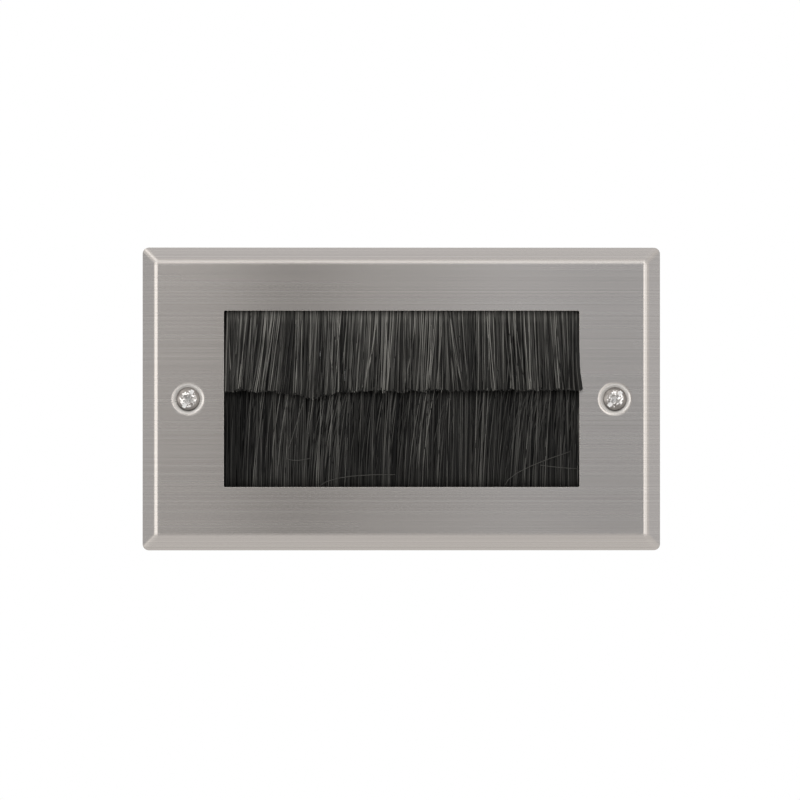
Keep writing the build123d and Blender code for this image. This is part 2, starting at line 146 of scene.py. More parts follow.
# The ragged cut of the tips
CUT_WAVE = 0.4 * MM
CUT_WAVE_LENGTH = 1.3 * MM
CUT_SCATTER = 0.25 * MM

# Thickness of single filaments as a share of the diameter, and what the front ones have more
THICKNESS = (0.85, 1.1)
FRONT_THICKER = 0.15

# Tones: how they vary by clump, along the row, along a filament and from the front layer inwards, the inner
# layers darker as painted shade
CLUMP_TONE_SHAPE = (1.4, 3.0)
CLUMP_TONE = 0.2
TONE_WAVE = 0.2
TONE_WAVE_LENGTH = 3 * MM
TONE_CHANGE = 0.35
TONE_LEAST = 0.3
INNER_TONE = 0.05
REAR_TONE = 0.7
FRONT_FADE = 1.3
REAR_FADE = 6
# How fast the painted light at the roots fades along a filament
ROOT_FADE = 8

# The two rows, both as if they hung down. leans, long_tufts and shades say where a row leans, reaches
# further or is lighter: middle and reach as shares of half the opening, and an amount, in millimetres
# or as a share of the tone. Swept filaments are single ones in front that lie aside. lightest is the
# greatest tone of single filaments, and tone_shape is the shape of the spread of their tones.
UPPER_ROW = SimpleNamespace(
    seed=11,
    tip_z=2.5 * MM,
    tip_y=FACE_Y + 0.6 * MM,
    leans=[
        (-0.74, 0.18, -3.0), (-0.2, 0.25, -1.5), (0.2, 0.07, -1.4),
        (0.29, 0.06, 3.4), (0.64, 0.12, 1.0), (0.86, 0.08, 1.6),
    ],
    long_tufts=[(-0.5, 0.14, 1.8)],
    shades=[(0.387, 0.045, -0.75), (-0.83, 0.03, -0.4), (-0.08, 0.05, 0.2), (0.17, 0.05, 0.25)],
    swept_share=0.15,
    sweep=0.0 * MM,
    sweep_spread=1.1 * MM,
    swept_tone=0.08,
    lightest=0.68,
    tone_shape=(0.3, 1.0),
    root_tone=1.1,
    tip_tone=1.12,
    # Painted light at the roots, where the plate's edge shades them
    painted_root_gain=1.6,
    painted_root_lift=0.18,
)
LOWER_ROW = SimpleNamespace(
    seed=23,
    tip_z=-4.6 * MM,
    tip_y=FACE_Y + 3.4 * MM,
    leans=[(-0.48, 0.18, 1.6), (0.06, 0.2, 1.2), (0.6, 0.18, 1.8)],
    long_tufts=[],
    shades=[
        (-0.92, 0.07, -0.5), (-0.72, 0.03, 0.8), (-0.56, 0.05, 0.6), (-0.35, 0.05, 0.8),
        (-0.17, 0.06, -0.5), (-0.01, 0.03, 0.4), (0.41, 0.025, 0.9), (0.57, 0.05, -0.45),
    ],
    swept_share=0.3,
    sweep=2.6 * MM,
    sweep_spread=1.3 * MM,
    swept_tone=0.22,
    lightest=0.8,
    tone_shape=(0.25, 1.3),
    # Tones far below the upper row's: painted shade from the upper row in front of it
    root_tone=0.38,
    tip_tone=0.55,
    painted_root_gain=0.0,
    painted_root_lift=0.035,
)

# The last filaments of the upper row on the right, sprung forward, their tips shifted outwards
SPLAY_START = OPENING_HALF_WIDTH - 4.7 * MM
SPLAY_FORWARD = 1.6 * MM
SPLAY_SHIFT = 0.95 * MM
SPLAY_SHIFT_START = 0.72

# Loose hairs across the lower row, each from start to end by way of a middle, x and z in millimetres
STRAY_HAIRS = [
    ((-23.1, -24.6), (-16.2, -22.1), (-1.8, -21.4)),
    ((29.2, -24.4), (34.2, -20.1), (47.6, -14.9)),
    ((39.2, -18.7), (44.8, -19.4), (49.9, -19.7)),
    ((-32.3, -16.8), (-30.0, -17.4), (-25.8, -16.8)),
    ((-27.2, 1.0), (-29.4, -6.1), (-32.0, -14.3)),
]
STRAY_Y = -2.65 * MM
STRAY_TONE = 0.3
STRAY_DIAMETER = 0.2 * MM

# What most values of a noise lie between
USUAL_NOISE = (0.3, 0.7)

# Brushed steel. The brushing is noise of so many grains a metre along X, Y and Z. Here and below, two
# colours are a dark and a light one, a clouding or graining is its grains a metre, and a bump is its
# strength and depth
FINE_LINES = (1.0, 1.0, 2200.0)
BROAD_LINES = (4.0, 4.0, 1300.0)
BROAD_SHARE = 0.3
LINES_RANGE = (0.36, 0.94)
STEEL_COLOURS = ((0.437, 0.405, 0.378), (0.504, 0.469, 0.4385))
STEEL_ROUGHNESS = (0.265, 0.275)
STEEL_BUMP = (0.02, 0.01 * MM)

# The pressed seats: dulled out to their rim, with a painted shadow of each head, a dark band just below the
# head
SEAT_RIM = (SEAT_RADIUS - 0.3 * MM, SEAT_RADIUS + 0.05 * MM)
SEAT_METALLIC = 0.35
HEAD_SHADOW_DROP = 0.45 * MM
HEAD_SHADOW_RIM = (HEAD_RADIUS - 0.4 * MM, HEAD_RADIUS + 0.2 * MM)
HEAD_SHADOW_AND_SEAT_COLOURS = ((0.05, 0.046, 0.042), (0.75, 0.717, 0.68))

# Screw heads: dull nickel, coined bright round the recess, and the recess painted nearly white as its
# glints, whitest in its shallow slot
HEAD_COLOURS = ((0.19, 0.173, 0.16), (0.27, 0.248, 0.23))
HEAD_ROUGHNESS = (0.27, 0.4)
HEAD_CLOUDS = 700.0
COINED_COLOUR = (0.95, 0.92, 0.89, 1.0)
COINED_RIM = (COINED_RADIUS - 0.15 * MM, COINED_RADIUS + 0.15 * MM)
COINED_DENTS = 1800.0
COINED_DENTS_RANGE = (0.47, 0.6)
COINED_DEPTH = 0.12 * MM
RECESS_COLOURS = ((0.16, 0.15, 0.14), (0.97, 0.95, 0.93))
RECESS_ROUGHNESS = (0.15, 0.25)
RECESS_DENTS = 1300.0
RECESS_DENTS_RANGE = (0.42, 0.56)
# The deep pit is kept at least this light against its shade: painted light
RECESS_LEAST_BRIGHT = 0.55
RECESS_BUMP = (0.8, 0.2 * MM)
SLOT_DEPTHS = (SLOT_FLOOR_Y + 0.1 * MM, SLOT_FLOOR_Y + 0.4 * MM)

# Plated small parts: dark and light colour, roughness, and grains a metre
PLATINGS = {
    "nickel_plating": ((0.40, 0.38, 0.36), (0.53, 0.50, 0.47), 0.28, 900.0),
    "zinc_plating": ((0.42, 0.43, 0.44), (0.55, 0.56, 0.57), 0.26, 900.0),
    "stud_steel": ((0.40, 0.385, 0.37), (0.50, 0.485, 0.465), 0.3, 1200.0),
    "galvanised": ((0.36, 0.37, 0.38), (0.50, 0.51, 0.52), 0.38, 450.0),
}
PLATING_UNEVENNESS = 0.2
PLATING_BUMP = (0.15, 0.02 * MM)

# Plastics. A filament's colour and roughness follow its tone
PLASTIC_COLOURS = ((0.012, 0.012, 0.012), (0.022, 0.021, 0.021))
PLASTIC_ROUGHNESS = (0.48, 0.62)
PLASTIC_GRAIN = 2600.0
PLASTIC_CLOUDS = 60.0
PLASTIC_BUMP = (0.4, 0.05 * MM)
NYLON_COLOURS = ((0.002, 0.002, 0.002), (0.318, 0.306, 0.279))
NYLON_TONES = (0.0, 0.6)
NYLON_ROUGHNESS = (0.6, 0.36)
NYLON_GRAIN = (9000.0, 9000.0, 700.0)
NYLON_BUMP = (0.2, 0.01 * MM)

# Camera, from the photo's view of the plate. The last two are pixels of the photo
CAMERA_DISTANCE = 1.6
CAMERA_AZIMUTH = -0.8
CAMERA_ELEVATION = -0.3
CAMERA_LENS = 255.0
CAMERA_SENSOR = 36.0
PHOTO_SCALE = 0.2824 * MM
PLATE_RIGHT_OF_MIDDLE = 1.7
PLATE_ABOVE_MIDDLE = 1.15

# Surroundings and floor
AMBIENT = 0.3
FLOOR_Z = -0.4
FLOOR_RADIUS = 2.2
FLOOR_SIDES = 96
FLOOR_COLOURS = ((0.80, 0.80, 0.79), (0.84, 0.84, 0.83))
FLOOR_CLOUDS = 40.0
FLOOR_GLOW = 0.75

# The card in front of the plate, brighter upwards and cooler to the right
FRONT_CARD_Y = -0.5
FRONT_CARD_WIDTH = 0.28
FRONT_CARD_TOP = 0.265
FRONT_CARD_BOTTOM = -0.15
FRONT_CARD_LIGHTS = (0.1, 0.79)
FRONT_CARD_COLOURS = ((0.955, 0.97, 0.99), (0.95, 1.03, 1.14))
FRONT_CARD_COOLING = (0.4, 0.85)
# Its tones across, from its left edge at 0 to its right edge at 1
FRONT_CARD_TONES = [
    (0.2, 1.3), (0.28, 1.44), (0.37, 0.0), (0.4, 0.0),
    (0.46, 1.18), (0.54, 0.92), (0.675, 1.5), (0.8, 1.0),
]

# The card beside it, and the plain cards: azimuth, elevation, distance, width, height and brightness
CARD_TINT = (0.98, 1.0, 1.035, 1.0)
WING_CARD_X = -0.235
WING_CARD_WIDTH = 0.19
WING_CARD_HEIGHT = 0.6
WING_CARD_LIGHT = 0.6
PLAIN_CARDS = {
    "left_card": (-100, 0, 1.2, 0.7, 2.2, 0.73),
    "right_card": (100, 0, 1.2, 0.7, 2.2, 0.84),
    "top_card": (0, 98, 1.0, 1.4, 0.7, 0.94),
}

# Lamps: azimuth, elevation, distance, width, height and brightness
LAMPS = {
    "left_box": (-54, 0, 1.6, 1.25, 0.8, 1.45),
    "right_box": (34, 0, 1.6, 1.15, 0.8, 0.91),
    "key_box": (-60, 44, 1.6, 0.8, 0.6, 1.5),
    "top_box": (0, 28, 1.5, 1.6, 1.05, 1.27),
    "back_box": (180, 35, 1.6, 1.2, 0.8, 0.9),
}


def add(tree, kind, inputs=None, **settings):
    """A shader node with its settings, its inputs set to values or linked to sockets."""
    made = tree.nodes.new("ShaderNode" + kind)
    for name, value in settings.items():
        setattr(made, name, value)
    for name, value in (inputs or {}).items():
        if isinstance(value, bpy.types.NodeSocket):
            tree.links.new(value, made.inputs[name])
        else:
            made.inputs[name].default_value = value
    return made


def new_material(name):
    """An empty node material and its tree."""
    material = bpy.data.materials.new(name)
    material.use_nodes = True
    material.node_tree.nodes.clear()
    return material, material.node_tree


def close_material(tree, shader):
    """Links the shader to the material's output."""
    add(tree, "OutputMaterial", {"Surface": shader.outputs[0]})


def object_place(tree):
    """The place of a point on the object, in metres."""
    return add(tree, "TexCoord").outputs["Object"]


def stretched_noise(tree, grains, detail):
    """Noise that is stretched by its number of grains a metre along each axis."""
    stretched = add(tree, "Mapping", {"Vector": object_place(tree), "Scale": grains}).outputs["Vector"]
    return add(tree, "TexNoise", {"Vector": stretched, "Scale": 1.0, "Detail": detail}).outputs["Fac"]


def even_noise(tree, grains, detail):
    """Noise with the same grain in every direction."""
    return stretched_noise(tree, (grains, grains, grains), detail)


def spread(tree, value, source, target=(0.0, 1.0)):
    """The value mapped from one range to another."""
    low, high = source
    first, last = target
    limits = {"Value": value, "From Min": low, "From Max": high, "To Min": first, "To Max": last}
    return add(tree, "MapRange", limits).outputs["Result"]


def calculated(tree, operation, *values):
    """What a Math node makes of values or sockets."""
    return add(tree, "Math", dict(enumerate(values)), operation=operation).outputs["Value"]


def mixed(tree, factor, colours):
    """Two colours mixed by a factor that varies over the surface."""
    first, second = colours
    mix = add(tree, "Mix", data_type="RGBA")
    tree.links.new(factor, mix.inputs["Factor"])
    mix.inputs["A"].default_value = (*first, 1.0)
    mix.inputs["B"].default_value = (*second, 1.0)
    return mix.outputs["Result"]


def bumped(tree, height, strength, depth):
    """Normals for a surface bumped by the height, as deep as that where the height is 1."""
    return add(tree, "Bump", {"Height": height, "Strength": strength, "Distance": depth}).outputs["Normal"]


def from_screw_axis(tree, drop=0.0):
    """Distance from the axis of the nearer of the two screws, or from a line below it, in metres."""
    split = add(tree, "SeparateXYZ", {"Vector": object_place(tree)}).outputs
    out = calculated(tree, "ABSOLUTE", split["X"])
    across = calculated(tree, "SUBTRACT", out, SCREW_X)
    up = calculated(tree, "ADD", split["Z"], drop)
    flat = add(tree, "CombineXYZ", {"X": across, "Z": up}).outputs["Vector"]
    return add(tree, "VectorMath", {0: flat}, operation="LENGTH").outputs["Value"]


def brushed_steel():
    """Stainless sheet with fine level brushing, its screw seats dulled, with a painted shadow just below
    each head.
    """
    material, tree = new_material("brushed_steel")
    fine = stretched_noise(tree, FINE_LINES, detail=0.0)
    broad = stretched_noise(tree, BROAD_LINES, detail=0.0)
    lines = calculated(tree, "MULTIPLY_ADD", broad, BROAD_SHARE, fine)
    colour = mixed(tree, spread(tree, lines, LINES_RANGE), STEEL_COLOURS)
    seat = spread(tree, from_screw_axis(tree), SEAT_RIM, (1.0, 0.0))
    # Painted shadow: dark round a line below each screw's axis, so that it shows just below the head
    clear = spread(tree, from_screw_axis(tree, HEAD_SHADOW_DROP), HEAD_SHADOW_RIM)
    pressed = add(tree, "Mix", {"Factor": seat}, data_type="RGBA")
    tree.links.new(colour, pressed.inputs["A"])
    tree.links.new(mixed(tree, clear, HEAD_SHADOW_AND_SEAT_COLOURS), pressed.inputs["B"])
    shader = add(tree, "BsdfPrincipled", {
        "Base Color": pressed.outputs["Result"],
        "Metallic": spread(tree, seat, (0.0, 1.0), (1.0, SEAT_METALLIC)),
        "Roughness": spread(tree, broad, USUAL_NOISE, STEEL_ROUGHNESS),
        "Anisotropic": 0.95,
        "Anisotropic Rotation": 0.25,
        "Tangent": add(tree, "CombineXYZ", {"X": 1.0}).outputs["Vector"],
        "Normal": bumped(tree, fine, *STEEL_BUMP),
    })
    close_material(tree, shader)
    return material


def plated_metal(name, dark, light, roughness, grains):
    """Plated small parts: a slightly cloudy bright surface."""
    material, tree = new_material(name)
    cloud = even_noise(tree, grains, detail=4.0)
    roughness_range = (roughness * (1 - PLATING_UNEVENNESS), roughness * (1 + PLATING_UNEVENNESS))
    shader = add(tree, "BsdfPrincipled", {
        "Base Color": mixed(tree, spread(tree, cloud, USUAL_NOISE), (dark, light)),
        "Metallic": 1.0,
        "Roughness": spread(tree, cloud, USUAL_NOISE, roughness_range),
        "Normal": bumped(tree, cloud, *PLATING_BUMP),
    })
    close_material(tree, shader)
    return material


def moulded_plastic():
    """Black moulded plastic with a fine spark-eroded texture."""
    material, tree = new_material("moulded_plastic")
    grain = even_noise(tree, PLASTIC_GRAIN, detail=4.0)
    cloud = even_noise(tree, PLASTIC_CLOUDS, detail=3.0)
    shader = add(tree, "BsdfPrincipled", {
        "Base Color": mixed(tree, cloud, PLASTIC_COLOURS),
        "Roughness": spread(tree, grain, USUAL_NOISE, PLASTIC_ROUGHNESS),
        "Normal": bumped(tree, grain, *PLASTIC_BUMP),
    })
    close_material(tree, shader)
    return material


def nylon():
    """Black nylon, each filament with a tone of its own, which also carries painted shade and painted
    light.
    """
    material, tree = new_material("black_nylon")
    tone = add(tree, "Attribute", attribute_name="tone").outputs["Fac"]
    grain = stretched_noise(tree, NYLON_GRAIN, detail=2.0)
    shader = add(tree, "BsdfPrincipled", {
        "Base Color": mixed(tree, tone, NYLON_COLOURS),
        "Roughness": spread(tree, tone, NYLON_TONES, NYLON_ROUGHNESS),
        "Specular IOR Level": 0.15,
        "Normal": bumped(tree, grain, *NYLON_BUMP),
    })
    close_material(tree, shader)
    return material


def nickel_head():
    """Dull nickel plating, coined bright and uneven round the driver recess."""
    material, tree = new_material("nickel_head")
    cloud = even_noise(tree, HEAD_CLOUDS, detail=4.0)
    dents = even_noise(tree, COINED_DENTS, detail=2.0)
    coined = spread(tree, from_screw_axis(tree), COINED_RIM, (1.0, 0.0))
    flare = calculated(tree, "MULTIPLY", coined, spread(tree, dents, COINED_DENTS_RANGE))
    colour = add(tree, "Mix", {"Factor": flare}, data_type="RGBA")
    plain_nickel = mixed(tree, spread(tree, cloud, USUAL_NOISE), HEAD_COLOURS)
    tree.links.new(plain_nickel, colour.inputs["A"])
    colour.inputs["B"].default_value = COINED_COLOUR
    shader = add(tree, "BsdfPrincipled", {
        "Base Color": colour.outputs["Result"],
        "Metallic": 1.0,
        "Roughness": spread(tree, cloud, USUAL_NOISE, HEAD_ROUGHNESS),
        "Normal": bumped(tree, dents, coined, COINED_DEPTH),
    })
    close_material(tree, shader)
    return material


def recess_painted_glints():
    """Nearly white, mostly diffuse colour inside the driver recess as painted glints, brightest in the
    shallow slot and uneven from the punch.
    """
    material, tree = new_material("recess_painted_glints")
    dents = even_noise(tree, RECESS_DENTS, detail=2.0)
    depth = add(tree, "SeparateXYZ", {"Vector": object_place(tree)}).outputs["Y"]
    shallow = spread(tree, depth, SLOT_DEPTHS, (1.0, 0.0))
    facets = spread(tree, dents, RECESS_DENTS_RANGE, (RECESS_LEAST_BRIGHT, 1.0))
    shader = add(tree, "BsdfPrincipled", {
        # Painted glints: the shallow slot full white, the rest of the recess light
        "Base Color": mixed(tree, calculated(tree, "MAXIMUM", shallow, facets), RECESS_COLOURS),
        "Metallic": 0.1,
        "Roughness": spread(tree, dents, USUAL_NOISE, RECESS_ROUGHNESS),
        "Normal": bumped(tree, dents, *RECESS_BUMP),
    })
    close_material(tree, shader)
    return material


def dress(node, material):
    """Gives a node of the frame its material."""
    materials = NODES[node].data.materials
    materials.clear()
    materials.append(material)


def smooth_noise(random, x, length):
    """Smooth random values from about -1 to 1 along x, with waves of that length."""
    knots = int((ROW_RIGHT - ROW_LEFT) / length) + 3
    values = random.uniform(-1.0, 1.0, knots)
    return np.interp((x - ROW_LEFT) / length + 1, np.arange(knots), values)


def at_spots(x, spots):
    """What the spots add for the filament that starts at x."""
    total = np.zeros_like(x)
    for middle, reach, amount in spots:
        total += amount * np.exp(-(((x / OPENING_HALF_WIDTH - middle) / reach) ** 2))
    return total


def nearness(layer):
    """How near the front the layers are, from 0 for the rear one to 1 for the front one."""
    return 1 - layer / (LAYERS - 1)


def looseness(layer):
    """How freely the filaments of the layers lie."""
    return REAR_LOOSENESS + (1 - REAR_LOOSENESS) * nearness(layer)


def depth_in_row(layer):
    """How far behind the middle of the row the layers are."""
    return (layer - (LAYERS - 1) / 2) * LAYER_STEP


def row_roots(random):
    """x, y and layer of each filament at its root. Every other layer is half a step aside."""
    across = np.arange(ROW_LEFT, ROW_RIGHT, FILAMENT_STEP)
    x, layer = (grid.ravel() for grid in np.meshgrid(across, np.arange(LAYERS)))
    kept = (layer >= FRONT_LAYERS) | (random.uniform(0.0, 1.0, len(x)) < FRONT_SHARE)
    x, layer = x[kept], layer[kept]
    aside = random.uniform(-0.5, 0.5, len(x)) * looseness(layer) + 0.5 * (layer % 2)
    back = random.uniform(-ROOT_SCATTER, ROOT_SCATTER, len(x))
    return x + aside * FILAMENT_STEP, ROW_Y + depth_in_row(layer) + back * LAYER_STEP, layer


def clump_numbers(x, layer):
    """The number of each filament's clump. Each layer has clumps of its own."""
    uneven = CLUMP_WAVE * np.sin(x / CLUMP_WAVE_LENGTH + layer)
    place = np.floor(x / CLUMP_WIDTH + CLUMP_STAGGER * layer + uneven)
    return np.unique(place + layer / LAYERS, return_inverse=True)[1].ravel()


def tip_shifts(random, row, x, layer, clump):
    """How far the tips lie aside from the roots: leaning, gathered into clumps and scattered."""
    clumps = clump.max() + 1
    clump_middle = (np.bincount(clump, x) / np.bincount(clump))[clump]
    lean = at_spots(x, row.leans) * MM + random.normal(0.0, CLUMP_LEAN, clumps)[clump]
    gather = random.uniform(*CLUMP_GATHER, clumps)[clump] * nearness(layer)
    scatter = random.normal(0.0, SCATTER, len(x))
    return (lean + scatter) * looseness(layer) + (clump_middle - x) * gather


def tip_heights(random, row, x):
    """Z of the tips, along a ragged cut with longer tufts."""
    wave = smooth_noise(random, x, CUT_WAVE_LENGTH) * CUT_WAVE
    return row.tip_z - at_spots(x, row.long_tufts) * MM + wave + random.normal(0.0, CUT_SCATTER, len(x))


def row_radii(random, layer):
    """Radii of the filaments at their stations. The front ones are thicker and taper."""
    front = nearness(layer)
    thickness = random.uniform(*THICKNESS, len(layer)) * (1 + FRONT_THICKER * front)
    root_radius = FILAMENT_DIAMETER / 2 * thickness
    return root_radius[:, None] * (1 + (FILAMENT_TAPER - 1) * front[:, None] * STATIONS)


def row_tones(random, row, x, layer, clump, swept):
    """A tone for each filament, darker inside the row as painted shade between the layers, and lighter
    where it is swept aside.
    """
    clump_tone = random.beta(*CLUMP_TONE_SHAPE, clump.max() + 1)[clump]
    tones = CLUMP_TONE * clump_tone + row.lightest * random.beta(*row.tone_shape, len(x))
    tones *= 1 + at_spots(x, row.shades) + TONE_WAVE * smooth_noise(random, x, TONE_WAVE_LENGTH)
    front = nearness(layer)
    # Painted shade inside the row: the inner layers dark, the front and rear ones light
    outer = np.maximum(front**FRONT_FADE, REAR_TONE * (1 - front) ** REAR_FADE)
    return np.clip(tones * (INNER_TONE + (1 - INNER_TONE) * outer) + row.swept_tone * swept, 0, 1)


def drawn_out(random, row, tones):
    """The tones along the filaments, uneven, with painted light at the roots, a gain and a lift, against
    the plate's shade there.
    """
    uneven = np.clip(random.normal(1.0, TONE_CHANGE, (len(tones), len(STATIONS))), TONE_LEAST, None)
    near_root = (1 - STATIONS) ** ROOT_FADE
    along = row.root_tone + (row.tip_tone - row.root_tone) * STATIONS + row.painted_root_gain * near_root
    return tones[:, None] * uneven * along + row.painted_root_lift * near_root


def hanging_row(row):
    """Paths, radii and tones of the filaments of one row that hangs down."""
    random = np.random.RandomState(row.seed)
    x, y, layer = row_roots(random)
    clump = clump_numbers(x, layer)
    shift = tip_shifts(random, row, x, layer, clump)
    swept = (random.uniform(0.0, 1.0, len(x)) < row.swept_share) & (layer < FRONT_LAYERS - 1)
    shift += swept * random.normal(row.sweep, row.sweep_spread, len(x))
    bend = random.normal(0.0, BEND, len(x)) * looseness(layer)
    height = tip_heights(random, row, x) - ROOT_Z
    forward = row.tip_y - ROW_Y - depth_in_row(layer) * CLOSING_UP
    curve = LEAN_CURVE + SWEPT_CURVE * swept
    aside = shift[:, None] * STATIONS ** curve[:, None] + bend[:, None] * np.sin(math.pi * STATIONS)
    paths = np.stack([
        np.clip(x[:, None] + aside, -ROW_LIMIT, ROW_LIMIT),
        y[:, None] + forward[:, None] * (1 - (1 - STATIONS) ** FORWARD_CURVE),
        ROOT_Z + height[:, None] * STATIONS,
    ], axis=-1)
    radii = row_radii(random, layer)
    tones = row_tones(random, row, x, layer, clump, swept)
    return paths, radii, drawn_out(random, row, tones)


def splayed(paths):
    """The last filaments on the right sprung forward, out over the plate's face."""
    share = np.clip((paths[:, :1, 0] - SPLAY_START) / (ROW_RIGHT - SPLAY_START), 0.0, 1.0)
    near_tip = np.clip((STATIONS - SPLAY_SHIFT_START) / (1 - SPLAY_SHIFT_START), 0.0, 1.0)
    paths[:, :, 1] -= SPLAY_FORWARD * share * STATIONS
    paths[:, :, 0] += SPLAY_SHIFT * share**2 * near_tip
    return paths


def stray_paths():
    """The loose hairs as smooth curves through their points."""
    t = STATIONS[:, None]
    paths = []
    for start, middle, end in np.array(STRAY_HAIRS) * MM:
        flat = start * (1 - t) * (1 - 2 * t) + middle * 4 * t * (1 - t) + end * t * (2 * t - 1)
        paths.append(np.column_stack([flat[:, 0], np.full(len(t), STRAY_Y), flat[:, 1]]))
    return np.array(paths)


def filament_points(paths, radii):
    """Points round the filaments: filaments x stations x sides x 3."""
    along = np.gradient(paths, axis=1)
    along /= np.linalg.norm(along, axis=2, keepdims=True)
    side = np.cross(along, np.array([0.0, 1.0, 0.0]))
    side /= np.linalg.norm(side, axis=2, keepdims=True)
    front = np.cross(side, along)
    turns = np.arange(FILAMENT_SIDES) * math.tau / FILAMENT_SIDES
    ring = side[:, :, None] * np.cos(turns)[:, None] + front[:, :, None] * np.sin(turns)[:, None]
    return paths[:, :, None] + ring * radii[:, :, None, None]


def filament_piece(name, paths, radii, tones, material):
    """One piece of many thin filaments. paths is filaments x stations x 3."""
    points = filament_points(paths, radii)
    corners = np.arange(points[..., 0].size).reshape(points.shape[:3])
    near = corners[:, :-1]
    far = corners[:, 1:]
    quads = np.stack([near, np.roll(near, -1, 2), np.roll(far, -1, 2), far], axis=-1)
    caps = np.concatenate([corners[:, 0, ::-1], corners[:, -1]])
    faces = np.concatenate([quads.reshape(-1, 4), caps])
    mesh = bpy.data.meshes.new(name)
    mesh.from_pydata(points.reshape(-1, 3).tolist(), [], faces.tolist())
    mesh.attributes.new("tone", "FLOAT", "POINT")
    mesh.attributes["tone"].data.foreach_set("value", np.repeat(tones.ravel(), FILAMENT_SIDES))
    mesh.polygons.foreach_set("use_smooth", np.arange(len(faces)) < len(faces) - len(caps))
    mesh.materials.append(material)
    mesh.update()
    piece = bpy.data.objects.new(name, mesh)
    bpy.context.scene.collection.objects.link(piece)
    return piece


def upper_row(material):
    """Front row of filaments, hanging down through the opening."""
    paths, radii, tones = hanging_row(UPPER_ROW)
    return filament_piece("upper_filaments", splayed(paths), radii, tones, material)


def lower_row(material):
    """Rear row of filaments, standing up behind the front row, with the loose hairs on it."""
    paths, radii, tones = hanging_row(LOWER_ROW)
    paths[:, :, 2] *= -1
    strays = stray_paths()
    stations = strays.shape[:2]
    paths = np.concatenate([paths, strays])
    radii = np.concatenate([radii, np.full(stations, STRAY_DIAMETER / 2)])
    tones = np.concatenate([tones, np.full(stations, STRAY_TONE)])
    return filament_piece("lower_filaments", paths, radii, tones, material)


def turned_rings(profile, open_start=False):
    """Vertices and faces of a solid of revolution about the Y axis through (radius, y) points."""
    turns = [math.tau * i / THREAD_STEPS for i in range(THREAD_STEPS)]
    vertices = [(r * math.cos(a), y, r * math.sin(a)) for r, y in profile for a in turns]
    faces = []
    for ring in range(len(profile) - 1):
        for i in range(THREAD_STEPS):
            j = (i + 1) % THREAD_STEPS
            near, far = ring * THREAD_STEPS, (ring + 1) * THREAD_STEPS
            faces.append((near + i, far + i, far + j, near + j))
    last = len(vertices) - THREAD_STEPS
    faces.append(tuple(last + i for i in reversed(range(THREAD_STEPS))))
    if not open_start:
        faces.append(tuple(range(THREAD_STEPS)))
    return vertices, faces


def thread_ridge(radius, pitch, start_y, end_y):
    """Vertices and faces of a thread's ridge that winds round the Y axis and runs out at both ends."""
    core = radius - THREAD_DEPTH * pitch
    foot = core * RIDGE_FOOT
    turns = (end_y - start_y) / pitch
    steps = int(turns * THREAD_STEPS)
    vertices = []
    for i in range(steps + 1):
        turn = i / THREAD_STEPS
        angle = turn * math.tau
        rise = min(1.0, turn / RUN_OUT_TURNS, (turns - turn) / RUN_OUT_TURNS)
        crest = core + (radius - core) * max(rise, RIDGE_LEAST_RISE)
        section = [
            (foot, -RIDGE_HALF_BASE),
            (crest, -RIDGE_HALF_CREST),
            (crest, RIDGE_HALF_CREST),
            (foot, RIDGE_HALF_BASE),
        ]
        for r, offset in section:
            vertices.append((r * math.cos(angle), start_y + (turn + offset) * pitch, r * math.sin(angle)))
    faces = []
    for i in range(steps):
        near, far = 4 * i, 4 * (i + 1)
        for j in range(4):
            k = (j + 1) % 4
            faces.append((near + j, near + k, far + k, far + j))
    faces += [(3, 2, 1, 0), tuple(4 * steps + j for j in range(4))]
    return vertices, faces


def joined(shapes, x, z):
    """One list of vertices and one of faces from shapes about the Y axis, moved to x and z."""
    vertices = []
    faces = []
    for more_vertices, more_faces in shapes:
        first = len(vertices)
        vertices += [(vx + x, vy, vz + z) for vx, vy, vz in more_vertices]
        faces += [tuple(first + i for i in face) for face in more_faces]
    return vertices, faces


def finished_piece(name, shape, materials):
    """An object made of the shape's vertices and faces, smooth with its sharp edges kept."""
    vertices, faces = shape
    mesh = bpy.data.meshes.new(name)
    mesh.from_pydata(vertices, [], faces)
    mesh.update()
    piece = bpy.data.objects.new(name, mesh)
    bpy.context.scene.collection.objects.link(piece)
    for material in materials:
        mesh.materials.append(material)
    mesh.shade_smooth()
    mesh.set_sharp_from_angle(angle=SHARP_ANGLE)
    return piece


def screw_head(node, x):
    """Vertices and faces of the screw's head and neck, about the Y axis, and where the neck ends."""
    source = NODES[node].data
    places = [(vertex.co.x - x, vertex.co.y, vertex.co.z) for vertex in source.vertices]
    shank = [
        y for px, y, pz in places
        if y > HEAD_BACK_Y and math.hypot(px, pz) > SCREW_RADIUS - ON_SURFACE
    ]
    neck_end = min(shank) - (SCREW_RADIUS - NECK_RADIUS)
    kept = [
        face for face in source.polygons
        if max(places[i][1] for i in face.vertices) < neck_end + ON_SURFACE
    ]
    used = sorted({i for face in kept for i in face.vertices})
    order = {old: new for new, old in enumerate(used)}
    faces = [tuple(order[i] for i in face.vertices) for face in kept]
    return [places[i] for i in used], faces, neck_end


def finish_head(piece, x, apex_y, head_radius):
    """Gives the head its own material, and what lies below its dome inside the rim that of the recess."""
    dome = (head_radius**2 + HEAD_DOME**2) / (2 * HEAD_DOME)
    for polygon in piece.data.polygons:
        if polygon.center.y > HEAD_BACK_Y:
            continue
        out = Vector((polygon.center.x - x, polygon.center.z))
        below_dome = polygon.center.y - (apex_y + dome - math.sqrt(dome**2 - out.length_squared))
        outward = out.dot(Vector((polygon.normal.x, polygon.normal.z)))
        in_recess = below_dome > RECESS_MARGIN and not outward > RIM_SLOPE * out.length
        polygon.material_index = RECESS_MATERIAL if in_recess else HEAD_MATERIAL


